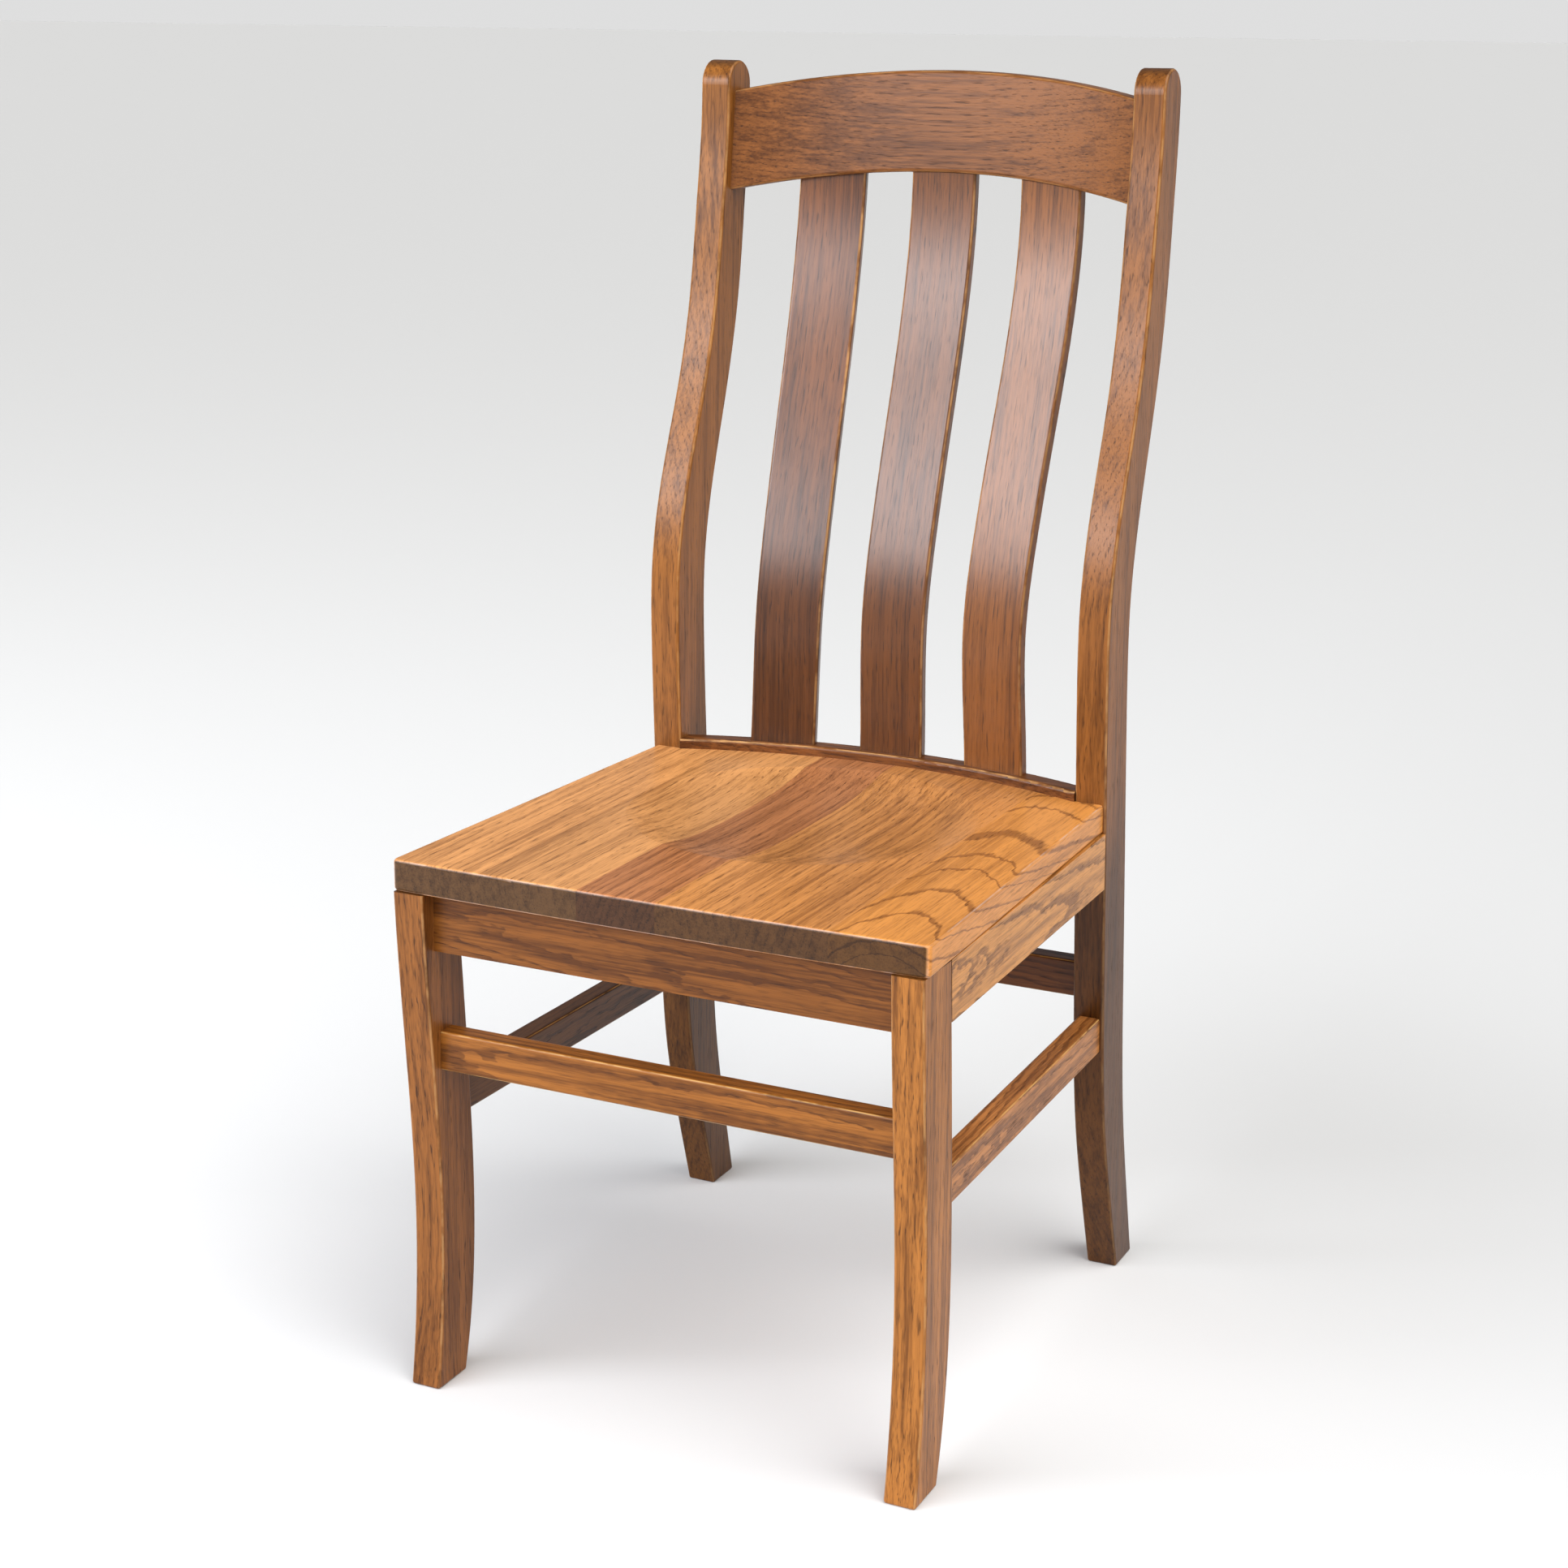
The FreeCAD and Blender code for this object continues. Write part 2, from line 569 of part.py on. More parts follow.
def pocket(name, seat_at, way, length):
    return rod(name, "screw_head", seat_at - way * length, seat_at)


grip = size("screw_grip")
clear, reach, high = size("block_clear"), size("block_reach"), size("block_height")
block_screws, seat_screws, seat_holes = [], [], []
screwed = {"front": [], "rear": [], "left": [], "right": []}
for end, apron_face, inward in (("front", front_y + thick / 2, 1), ("rear", rear_y - thick / 2, -1)):
    for side, sign in SIDES:
        middle, way = apron_way[side]
        flank = V(way.y, -way.x, 0) if sign > 0 else V(-way.y, way.x, 0)
        inner = middle - flank * (thick / 2)
        corner = inner.x + way.x * (apron_face - inner.y) / way.y
        name = f"corner_block_{end}_{side}"
        blank = body(name + "_blank")
        plan = sketch_on(blank, "XY_Plane", name + "_plan")
        over = 6
        shape = [(corner - sign * (clear + reach), apron_face), (corner - sign * clear, apron_face),
                 (corner + sign * over, apron_face + inward * (clear + over)),
                 (corner + sign * over, apron_face + inward * (clear + reach + over))]
        chain(plan, [line(a, b) for a, b in zip(shape, shape[1:] + shape[:1])])
        pad(blank, plan, "sizes.block_height")
        blank.Placement.Base = V(0, 0, seat_under - high)
        trimmed = boolean("Cut", name + "_fitted", blank, apron_fitted[side])
        z = seat_under - high / 2
        mid = clear + reach / 2
        places = [(V(corner - sign * mid, apron_face + inward * grip, z), V(0, -inward, 0), end),
                  (V(corner - sign * grip, apron_face + inward * mid, z), V(sign, 0, 0), side)]
        tools = []
        for n, (at, way_in, other) in enumerate(places):
            made = screw(f"screw_{end}_{side}_{n}", at, way_in, grip, grip)
            block_screws.append(made)
            screwed[other].append(made)
            tools += [made, pocket(f"pocket_{end}_{side}_{n}", at, way_in, 30)]
        at = V(corner - sign * mid / 2, apron_face + inward * mid / 2, seat_under - 20)
        made = screw(f"seat_screw_{end}_{side}", at, V(0, 0, 1), 20, grip)
        seat_screws.append(made)
        tools += [made, pocket(f"pocket_{end}_{side}_seat", at, V(0, 0, 1), 30)]
        node(boolean("Cut", name, trimmed, group("MultiFuse", name + "_holes", tools)), name)
node(group("Compound", "block_screw_set", block_screws), "corner_block_screws")
node(group("Compound", "seat_screw_set", seat_screws), "seat_screws")

# ---------------------------------------------------------------- finished pieces
for end, blank in (("front", front_blank), ("rear", rear_fitted)):
    tools = group("MultiFuse", f"{end}_apron_holes", doweled[end] + screwed[end])
    node(boolean("Cut", f"{end}_apron_bored", blank, tools), f"{end}_apron")
for side, sign in SIDES:
    tools = group("MultiFuse", f"side_apron_holes_{side}", doweled[side] + screwed[side])
    node(boolean("Cut", f"side_apron_bored_{side}", apron_fitted[side], tools), f"side_apron_{side}")
for kind, label, blanks in (("leg", "front_leg", legs), ("post", "back_post", posts)):
    for side, sign in SIDES:
        soft = ease(f"{kind}_eased_{side}", blanks[side], "wood_ease",
                    lambda e: e.BoundBox.ZMax < 1 or e.BoundBox.ZLength > 15)
        tools = group("MultiFuse", f"{kind}_mortises_{side}", into[kind, side])
        node(boolean("Cut", f"{kind}_mortised_{side}", soft, tools), f"{label}_{side}")
housed = boolean("Cut", "crest_housed", crest_eased, slats)
node(boolean("Cut", "crest_bored", housed, group("Compound", "crest_dowel_tools", crest_dowels)), "crest_rail")
housed = boolean("Cut", "back_rail_housed", rail_eased, slats)
node(boolean("Cut", "back_rail_bored", housed, group("Compound", "rail_dowel_tools", rail_dowels)), "back_rail")

seat_bored = boolean("Cut", "seat_bored", seat_fitted, group("Compound", "seat_screw_tools", seat_screws))
staves = [size(f"stave_{n}") for n in range(1, 7)]
edges = [wide_front * (2 * sum(staves[:n]) / sum(staves) - 1) for n in range(7)]
edges[0], edges[-1] = -wide_front - 5, wide_front + 5
for n, (low, high) in enumerate(zip(edges, edges[1:]), 1):
    stave = box(f"stave_{n}", (low, front - 5, seat_under - 5), (high, -front, seat_top + 5))
    node(boolean("Common", f"seat_stave_{n}", seat_bored, stave), f"seat_board_{n}")

# ---------------------------------------------------------------- checks and output
doc.recompute()
for made in doc.Objects:
    if any(word in made.State for word in ("Invalid", "Error")):
        raise SystemExit(f"{made.Name}: {made.State}")
os.makedirs("parts", exist_ok=True)
for made in nodes:
    shape = made.Shape
    if shape.isNull() or not shape.isValid() or not shape.Solids:
        raise SystemExit(f"{made.Label} has no sound shape")
    shape.exportStep(f"parts/{made.Label}.step")
    extent = shape.BoundBox
    print(f"{made.Label:24s} solids {len(shape.Solids):2d} {extent.XLength:7.1f} {extent.YLength:7.1f}"
          f" {extent.ZLength:7.1f}  volume {shape.Volume / 1000:8.1f} cm3")
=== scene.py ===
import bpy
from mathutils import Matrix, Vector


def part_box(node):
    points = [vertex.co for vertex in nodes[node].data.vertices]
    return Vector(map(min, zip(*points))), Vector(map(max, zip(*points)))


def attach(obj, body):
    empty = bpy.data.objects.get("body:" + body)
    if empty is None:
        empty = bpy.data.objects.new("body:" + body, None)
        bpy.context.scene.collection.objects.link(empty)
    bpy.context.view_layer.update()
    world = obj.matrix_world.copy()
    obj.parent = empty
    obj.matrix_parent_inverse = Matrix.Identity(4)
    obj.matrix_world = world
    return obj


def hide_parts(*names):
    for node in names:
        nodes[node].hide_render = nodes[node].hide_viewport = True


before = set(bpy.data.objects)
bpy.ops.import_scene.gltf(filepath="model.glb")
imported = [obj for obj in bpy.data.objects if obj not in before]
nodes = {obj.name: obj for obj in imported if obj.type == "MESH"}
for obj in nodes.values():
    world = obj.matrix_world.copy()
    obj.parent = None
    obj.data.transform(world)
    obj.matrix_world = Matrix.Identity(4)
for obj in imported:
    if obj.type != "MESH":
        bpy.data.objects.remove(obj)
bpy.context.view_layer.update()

import math

import bpy
from mathutils import Matrix, Vector

# ---------------------------------------------------------------- back posts
# Two S-shaped posts, each bandsawn from one hickory plank, sanded, stained brown and lacquered.
# They carry the whole back and the rear of the seat frame, and their arrises are rubbed lighter.
# The other pieces share this wood, so its figure, its rubbed edges and its lacquer start here.


def put(tree, kind, *values, out=0, **settings):
    node = tree.nodes.new("ShaderNode" + kind)
    for name, value in settings.items():
        setattr(node, name, value)
    for number, value in enumerate(values):
        if isinstance(value, bpy.types.NodeSocket):
            tree.links.new(value, node.inputs[number])
        elif value is not None:
            node.inputs[number].default_value = value
    return node.outputs[out]


def math_of(tree, operation, *values):
    return put(tree, "Math", *values, operation=operation)


def vector_of(tree, operation, *values, out=0):
    return put(tree, "VectorMath", *values, operation=operation, out=out)


def fade(tree, value, start, end, low=0.0, high=1.0):
    return put(tree, "MapRange", value, start, end, low, high, interpolation_type="SMOOTHSTEP")


def tint(tree, share, first, second):
    return put(tree, "Mix", share, None, None, None, None, None, first, second,
               out=2, data_type="RGBA")


def parts_of(tree, vector):
    node = tree.nodes.new("ShaderNodeSeparateXYZ")
    tree.links.new(vector, node.inputs[0])
    return node.outputs


def new_group(name, inputs, outputs):
    tree = bpy.data.node_groups.new(name, "ShaderNodeTree")
    for label, kind in inputs:
        tree.interface.new_socket(label, in_out="INPUT", socket_type="NodeSocket" + kind)
    for label, kind in outputs:
        tree.interface.new_socket(label, in_out="OUTPUT", socket_type="NodeSocket" + kind)
    given, result = tree.nodes.new("NodeGroupInput"), tree.nodes.new("NodeGroupOutput")
    return tree, given.outputs, result.inputs


def hickory_figure():
    tree, given, result = new_group(
        "hickory_figure",
        [("Place", "Vector"), ("Facing", "Vector"), ("Along", "Vector"), ("Pith", "Vector"),
         ("Lean", "Vector"), ("Ring width", "Float"), ("Seed", "Float"), ("Figure", "Float"),
         ("Cloud", "Float"), ("Pore depth", "Float"), ("Line", "Float"),
         ("End", "Float"), ("Light", "Color"), ("Dark", "Color"),
         ("Pore", "Color")],
        [("Color", "Color"), ("Roughness", "Float"), ("Height", "Float")])
    place, along = given["Place"], given["Along"]
    across = vector_of(tree, "SUBTRACT", (1, 1, 1), along)
    run = vector_of(tree, "DOT_PRODUCT", place, along, out=1)
    shift = vector_of(tree, "SCALE", (3.7, 7.3, 13.1), None, None, given["Seed"])
    moved = vector_of(tree, "ADD", place, shift)

    # wide and long are lumps to the metre across the grain and along it
    def noise(wide, long, detail=2.0, out=0):
        stretch = vector_of(tree, "MULTIPLY_ADD", along, (long - wide,) * 3, (wide,) * 3)
        return put(tree, "TexNoise", vector_of(tree, "MULTIPLY", moved, stretch), None, 1.0, detail,
                   0.55, out=out)

    def waver(wide, long, reach):
        off = vector_of(tree, "SUBTRACT", noise(wide, long, out=1), (0.5,) * 3)
        return vector_of(tree, "MULTIPLY", off, (reach,) * 3)

    def plus(base, value, middle, gain):
        return math_of(tree, "MULTIPLY_ADD", math_of(tree, "SUBTRACT", value, middle), gain, base)

    # growth rings round the pith, wavering along the trunk and cut open by the faces of the piece
    swung = vector_of(tree, "MULTIPLY_ADD", given["Lean"],
                      put(tree, "CombineXYZ", run, run, run), place)
    swung = vector_of(tree, "ADD", swung, waver(wide=6, long=1.6, reach=0.016))
    swung = vector_of(tree, "ADD", swung, waver(wide=110, long=42, reach=0.0050))
    swung = vector_of(tree, "SUBTRACT", swung, given["Pith"])
    radius = vector_of(tree, "LENGTH", vector_of(tree, "MULTIPLY", swung, across), out=1)
    years = math_of(tree, "DIVIDE", radius, given["Ring width"])
    uneven = put(tree, "TexNoise", put(tree, "CombineXYZ", math_of(tree, "MULTIPLY", radius, 60.0),
                                       given["Seed"], 0.0), None, 1.0, 1.0, 0.5)
    season = math_of(tree, "FRACT", math_of(tree, "MULTIPLY_ADD", uneven, 1.8, years))
    early = fade(tree, season, start=0.0, end=given["Line"], low=1.0, high=0.0)
    late = fade(tree, season, start=0.93, end=1.0)
    ring = math_of(tree, "MAXIMUM", early, late)

    # streaks, fibres, open pores and the cloudiness of the stain
    streak = noise(wide=150, long=3.0, detail=4.0)
    fibre = noise(wide=620, long=15)
    cloud = noise(wide=11, long=4.0)
    pore = fade(tree, noise(wide=880, long=60, detail=1.0), start=0.54, end=0.68)
    between_rings = 0.35
    often = math_of(tree, "MULTIPLY_ADD", ring, 1.0 - between_rings, between_rings)
    pore = math_of(tree, "MULTIPLY", pore, often)
    ground = 0.12
    shade = math_of(tree, "MULTIPLY_ADD", ring, given["Figure"], ground)
    shade = plus(shade, streak, middle=0.42, gain=1.7)
    shade = plus(shade, fibre, middle=0.45, gain=1.1)
    shade = plus(shade, cloud, middle=0.45, gain=given["Cloud"])
    shade = fade(tree, shade, start=0.0, end=1.0)
    colour = tint(tree, shade, given["Light"], given["Dark"])
    colour = tint(tree, math_of(tree, "MULTIPLY", pore, given["Pore depth"]), colour, given["Pore"])
    # end grain drinks more stain
    end = vector_of(tree, "DOT_PRODUCT", given["Facing"], along, out=1)
    end = fade(tree, math_of(tree, "ABSOLUTE", end), start=0.62, end=0.93)
    end = math_of(tree, "SUBTRACT", 1.0, math_of(tree, "MULTIPLY", end, given["End"]))
    tree.links.new(vector_of(tree, "SCALE", colour, None, None, end), result["Color"])
    lacquer_rough, pore_rough = 0.36, 0.16
    rough = math_of(tree, "MULTIPLY_ADD", pore, pore_rough, lacquer_rough)
    rough = plus(rough, cloud, middle=0.5, gain=0.12)
    tree.links.new(rough, result["Roughness"])
    fibre_high, pore_deep = 0.30, -0.8
    high = math_of(tree, "MULTIPLY", pore, pore_deep)
    high = math_of(tree, "MULTIPLY_ADD", fibre, fibre_high, high)
    tree.links.new(high, result["Height"])
    return tree


def arris_wear_and_highlight():
    tree, given, result = new_group(
        "arris_wear_and_highlight", [("Place", "Vector"), ("Facing", "Vector"), ("Turned ends", "Float")],
        [("Mask", "Float")])
    x, y, z = parts_of(tree, vector_of(tree, "ABSOLUTE", given["Facing"]))
    flat = math_of(tree, "MAXIMUM", x, math_of(tree, "MAXIMUM", y, z))
    # an eased arris faces neither straight out nor straight up: that is where hands and shoes rub,
    # and on the seat the same mask carries a painted highlight
    any_edge = fade(tree, math_of(tree, "SUBTRACT", 1.0, flat), start=0.10, end=0.25)
    rest = math_of(tree, "SQRT", math_of(tree, "SUBTRACT", 1.0, math_of(tree, "MULTIPLY", x, x)))
    side_edge = fade(tree, math_of(tree, "MULTIPLY", x, rest), start=0.27, end=0.46)
    mask = put(tree, "Mix", given["Turned ends"], None, any_edge, side_edge)
    patchy = put(tree, "TexNoise", given["Place"], None, 38.0, 3.0, 0.6)
    patchy = fade(tree, patchy, start=0.36, end=0.60, low=0.15, high=1.0)
    tree.links.new(math_of(tree, "MULTIPLY", mask, patchy), result["Mask"])
    return tree


hickory, arris = hickory_figure(), arris_wear_and_highlight()


def use_group(tree, group, **values):
    node = tree.nodes.new("ShaderNodeGroup")
    node.node_tree = group
    for name, value in values.items():
        socket = node.inputs[name.replace("_", " ").capitalize()]
        if isinstance(value, bpy.types.NodeSocket):
            tree.links.new(value, socket)
        else:
            socket.default_value = value
    return node.outputs


# tone is the stain's colour, along the way of the grain; pith and lean place the heart of the tree,
# ring is a year's width and line the dark share of it; the arris colour and share rub arrises paler.
# on the seat that paler arris is a painted highlight of the lacquer, on the other pieces it is wear.
def stained(name, tone, along=(0, 0, 1), pith=(0, 0, 0), lean=(0, 0, 0), ring=0.0060, seed=0.0,
            line=0.5, end=0.55, figure=0.45, cloud=0.9, pores=0.75, light=1.32, dark=0.50,
            wear_and_highlight_colour=(0.60, 0.33, 0.13), wear_and_highlight=0.55, turned=0.0, coat=0.16, pore_tone=0.22, painted_light_and_shade_by_height=None,
            squeeze=None, scoop=None):
    material = bpy.data.materials.new(name)
    material.use_nodes = True
    tree = material.node_tree
    shader = tree.nodes["Principled BSDF"]
    where = tree.nodes.new("ShaderNodeTexCoord")
    place, facing = where.outputs["Object"], where.outputs["Normal"]
    if squeeze:
        # bent wood: the grain follows the bend, so the figure hardly changes through the thickness
        place = put(tree, "Mapping", place, None, None, squeeze)
    wood = use_group(tree, hickory, place=place, facing=facing, along=along, pith=pith, lean=lean,
                     ring_width=ring, seed=seed, figure=figure, cloud=cloud, pore_depth=pores,
                     line=line, end=end,
                     light=(*(min(1.0, c * light) for c in tone), 1.0),
                     dark=(*(c * dark * (1.0 - 0.12 * n) for n, c in enumerate(tone)), 1.0),
                     pore=(*(c * pore_tone * (1.0 - 0.15 * n) for n, c in enumerate(tone)), 1.0))
    # the arrises take the arris colour: wear on most pieces, a painted highlight on the seat
    mask = use_group(tree, arris, place=place, facing=facing, turned_ends=turned)["Mask"]
    mask = math_of(tree, "MULTIPLY", mask, wear_and_highlight)
    colour = tint(tree, mask, wood["Color"], (*wear_and_highlight_colour, 1.0))
    if scoop:
        # the seat is darkened across the bowl, and the darkening fades out across its rim
        middle, inner, outer = scoop
        off = vector_of(tree, "MULTIPLY", vector_of(tree, "SUBTRACT", place, middle), (1, 1, 0))
        off = vector_of(tree, "LENGTH", off, out=1)
        shade = fade(tree, off, inner, outer, low=0.86, high=1.0)
        colour = vector_of(tree, "SCALE", colour, None, None, shade)
    if painted_light_and_shade_by_height:
        # painted light and shade: the colour is scaled from one height to another, for painted shade
        # low on the posts and a painted highlight high on the slats
        shade = fade(tree, parts_of(tree, place)["Z"], *painted_light_and_shade_by_height)
        colour = vector_of(tree, "SCALE", colour, None, None, shade)
    tree.links.new(colour, shader.inputs["Base Color"])
    tree.links.new(wood["Roughness"], shader.inputs["Roughness"])
    # pores and fibres stand open under the lacquer by less than half a millimetre
    bump = tree.nodes.new("ShaderNodeBump")
    bump.inputs["Strength"].default_value = 0.35
    bump.inputs["Distance"].default_value = 0.0004
    tree.links.new(wood["Height"], bump.inputs["Height"])
    tree.links.new(bump.outputs["Normal"], shader.inputs["Normal"])
    shader.inputs["Coat Weight"].default_value = coat
    shader.inputs["Coat Roughness"].default_value = 0.28
    shader.inputs["Specular IOR Level"].default_value = 0.17
    return material


def finish_with(name, material):
    mesh = nodes[name].data
    mesh.materials.clear()
    mesh.materials.append(material)


for side, x, seed, tone in (("left", -0.215, 1.0, (0.210, 0.076, 0.014)),
                            ("right", 0.215, 2.0, (0.190, 0.066, 0.012))):
    # painted shade: each post is darkened below the seat, down to less than half its colour at the
    # foot
    finish_with(f"back_post_{side}", stained(
        f"post_hickory_{side}", tone, painted_light_and_shade_by_height=(0.34, 0.50, 0.45, 1.0), pith=(x * 2.4, -0.20, 0),
        lean=(0.004, 0.006, 0), ring=0.0042, seed=seed, figure=0.16, turned=1.0, wear_and_highlight=0.4))

# ---------------------------------------------------------------- back slats
# Three flat slats of the same hickory, steam-bent to follow the sitter's back, about 60 mm wide.
# Their ends sit in grooves in the crest rail above and the back rail below; grain runs upwards.
# painted highlight: each slat is lightened above its middle by the fourth column, the left most, the
# centre less, the right not at all
for side, x, seed, gain, tone in (("left", -0.10, 11.0, 1.55, (0.070, 0.021, 0.0037)),
                                  ("centre", 0.0, 12.5, 1.25, (0.082, 0.025, 0.0040)),
                                  ("right", 0.10, 14.0, 1.0, (0.145, 0.047, 0.0080))):
    finish_with(f"back_slat_{side}", stained(
        f"slat_hickory_{side}", tone, pith=(x + 0.45, 0.10, 0), lean=(0.004, 0, 0), ring=0.0044,
        seed=seed, figure=0.14, cloud=0.7, turned=1.0, wear_and_highlight=0.4, coat=0.55, light=1.5, dark=0.55,
        painted_light_and_shade_by_height=(0.58, 0.80, 1.0, gain), squeeze=(1.0, 0.12, 1.0)))

# ---------------------------------------------------------------- crest rail and back rail
# The crest is sawn to a bow in plan and a low arch above; the back rail below is bowed to match.
# Both are dowelled between the posts, and their grain runs from side to side.
finish_with("crest_rail", stained(
    "crest_hickory", (0.165, 0.056, 0.012), along=(1, 0, 0), pith=(0, 0.10, 0.55), lean=(0, 0, 0.004),
    ring=0.0050, seed=21.0, figure=0.18, cloud=1.1, wear_and_highlight=0.35))
finish_with("back_rail", stained(
    "back_rail_hickory", (0.155, 0.051, 0.012), along=(1, 0, 0), pith=(0, 0.10, 0.40), ring=0.005,
    seed=23.0, figure=0.3, wear_and_highlight=0.7))

# ---------------------------------------------------------------- front legs
# Two sabre legs sawn from the same planks as the posts, thickest at the seat, curving forward.
# Their tops take the aprons and stretchers in mortises; front faces are full of short dark pores.
# painted shade: the left leg is given a darker tone than the right one, for the shade under the seat
for side, x, seed, tone in (("left", -0.214, 31.0, (0.190, 0.066, 0.013)),
                            ("right", 0.214, 32.5, (0.300, 0.110, 0.020))):
    finish_with(f"front_leg_{side}", stained(
        f"leg_hickory_{side}", tone, pith=(x * 2.2, -0.05, 0), lean=(0.004, 0.010, 0),
        ring=0.0046, seed=seed, figure=0.22, pores=0.9, turned=1.0, wear_and_highlight=0.4))

# ---------------------------------------------------------------- aprons
# Four rails under the seat, doweled into legs and posts; the front one shows an arched figure.
# The side aprons are paler and carry long dark lines; the rear one is out of sight and plainer.
finish_with("front_apron", stained(
    "front_apron_hickory", (0.165, 0.054, 0.0080), along=(1, 0, 0), pith=(0, -0.235, 0.40),
    lean=(0, 0.03, 0.09), ring=0.0050, seed=41.0, figure=0.40))
finish_with("rear_apron", stained(
    "rear_apron_hickory", (0.120, 0.042, 0.012), along=(1, 0, 0), pith=(0, 0.10, 0.40),
    lean=(0, 0.02, 0.03), seed=43.0))
for side, x, seed in (("left", -0.17, 45.0), ("right", 0.17, 46.0)):
    finish_with(f"side_apron_{side}", stained(
        f"side_apron_hickory_{side}", (0.55, 0.235, 0.055), along=(0, 1, 0), pith=(x, 0, 0.400),
        lean=(0.05, 0, 0.06), ring=0.0075, seed=seed, figure=0.55, line=0.30, light=1.12, dark=0.42))

# ---------------------------------------------------------------- stretchers
# Four plain rails join the legs in a box, front and rear high, the two sides lower.
# Their top arrises are eased by hand and rubbed through to a golden line.
golden = (0.62, 0.36, 0.12)
# painted shade: the rear stretcher and the left side stretcher are given darker tones than the front
# and right ones, for the shade under the seat
finish_with("front_stretcher", stained(
    "front_stretcher_hickory", (0.240, 0.083, 0.013), along=(1, 0, 0), pith=(0, -0.225, 0.285),
    lean=(0, 0.02, 0.04), ring=0.0055, seed=51.0, wear_and_highlight_colour=golden, wear_and_highlight=0.8))
finish_with("rear_stretcher", stained(
    "rear_stretcher_hickory", (0.125, 0.038, 0.006), along=(1, 0, 0), pith=(0, 0.14, 0.27),
    lean=(0, 0.02, 0.03), ring=0.0055, seed=53.0, wear_and_highlight_colour=golden, wear_and_highlight=0.7))
for side, x, seed, tone in (("left", -0.18, 55.0, (0.100, 0.036, 0.008)),
                            ("right", 0.18, 56.5, (0.370, 0.145, 0.038))):
    finish_with(f"side_stretcher_{side}", stained(
        f"side_stretcher_hickory_{side}", tone, along=(0, 1, 0), pith=(x, 0, 0.235),
        lean=(0.03, 0, 0.04), ring=0.0055, seed=seed, wear_and_highlight_colour=golden, wear_and_highlight=0.8))

# ---------------------------------------------------------------- seat
# Six hickory boards glued edge to edge, grain front to back, with a shallow bowl scooped in the top.
# Each board keeps its own tone and figure; the last on the right shows bold arched rings.
# A row is: number, tone of the stain, pith, lean of the trunk, width of a year, strength of figure.
boards = (
    (1, (0.640, 0.290, 0.096), (-0.50, 0, 0.330), (0.004, 0, 0), 0.0070, 0.14),
    (2, (0.600, 0.275, 0.092), (-0.45, 0, 0.340), (0.004, 0, 0), 0.0070, 0.16),
    (3, (0.420, 0.160, 0.056), (0.30, 0, 0.300), (0.004, 0, 0), 0.0060, 0.22),
    (4, (0.560, 0.232, 0.064), (-0.30, 0, 0.335), (0.006, 0, 0), 0.0070, 0.18),
    (5, (0.530, 0.215, 0.056), (0.46, 0, 0.340), (0.006, 0, 0), 0.0070, 0.20),
    (6, (0.600, 0.240, 0.052), (0.185, 0, 0.345), (0.04, 0, 0.17), 0.0105, 0.70),
)
bowl_middle, scoop_starts, scoop_ends = (0, -0.011, 0), 0.118, 0.156
# painted highlight: the seat's arrises are rubbed to a pale pinkish grey, a highlight of the lacquer
# along the edges
for number, tone, pith, lean, ring, figure in boards:
    finish_with(f"seat_board_{number}", stained(
        f"seat_hickory_{number}", tone, along=(0, 1, 0), pith=pith, lean=lean, ring=ring,
        seed=60.0 + 1.7 * number, figure=figure, cloud=0.75, wear_and_highlight_colour=(0.70, 0.52, 0.44), wear_and_highlight=0.45,
        line=0.13 if number == 6 else 0.5, end=0.87,
        scoop=(bowl_middle, scoop_starts, scoop_ends), pore_tone=0.16, light=1.12, dark=0.50,
        pores=0.7))

# ---------------------------------------------------------------- corner blocks
# Four unstained softwood blocks inside the corners of the frame, out of sight under the seat.
# They are screwed to the aprons and up into the seat boards.
for end in ("front", "rear"):
    for number, side in enumerate(("left", "right")):
        finish_with(f"corner_block_{end}_{side}", stained(
            f"block_pine_{end}_{side}", (0.56, 0.40, 0.22), along=(1, 0, 0),
            pith=(0, -0.30 if end == "front" else 0.30, 0.35), ring=0.004,
            seed=80.0 + number + len(end), light=1.1, dark=0.75, pores=0.15, wear_and_highlight=0.0, coat=0.0))

# ---------------------------------------------------------------- dowels
# Turned beech dowels glued into the aprons, the crest rail and the back rail.
# They are hidden once the chair is assembled, so they stay unstained.
for name in ("apron_dowels", "crest_dowels", "back_rail_dowels"):
    finish_with(name, stained(
        f"beech_{name}", (0.60, 0.43, 0.27), along=(1, 0, 0), pith=(0, 0, 0.8), ring=0.003,
        seed=90.0, figure=0.2, light=1.1, dark=0.8, pores=0.2, wear_and_highlight=0.0, coat=0.0))

# ---------------------------------------------------------------- screws
# Twelve zinc-plated steel wood screws with rolled threads, all 24 mm long under the head.
# Their heads are cross-recessed and just under 8 mm across.
# Two hold each corner block to its aprons and one runs up through it into the seat boards.
head_wide, head_high, shank_wide, shank_long, thread_pitch = 0.0078, 0.0029, 0.0038, 0.0238, 0.0019


def zinc():
    material = bpy.data.materials.new("zinc_plate")
    material.use_nodes = True
    tree = material.node_tree
    shader = tree.nodes["Principled BSDF"]
    place = tree.nodes.new("ShaderNodeTexCoord").outputs["Object"]
    bloom = put(tree, "TexNoise", place, None, 900.0, 3.0, 0.6)
    tree.links.new(tint(tree, bloom, (0.52, 0.53, 0.54, 1), (0.70, 0.70, 0.68, 1)),
                   shader.inputs["Base Color"])
    rough = fade(tree, bloom, start=0.2, end=0.8, low=0.25, high=0.45)
    tree.links.new(rough, shader.inputs["Roughness"])
    shader.inputs["Metallic"].default_value = 1.0
    return material


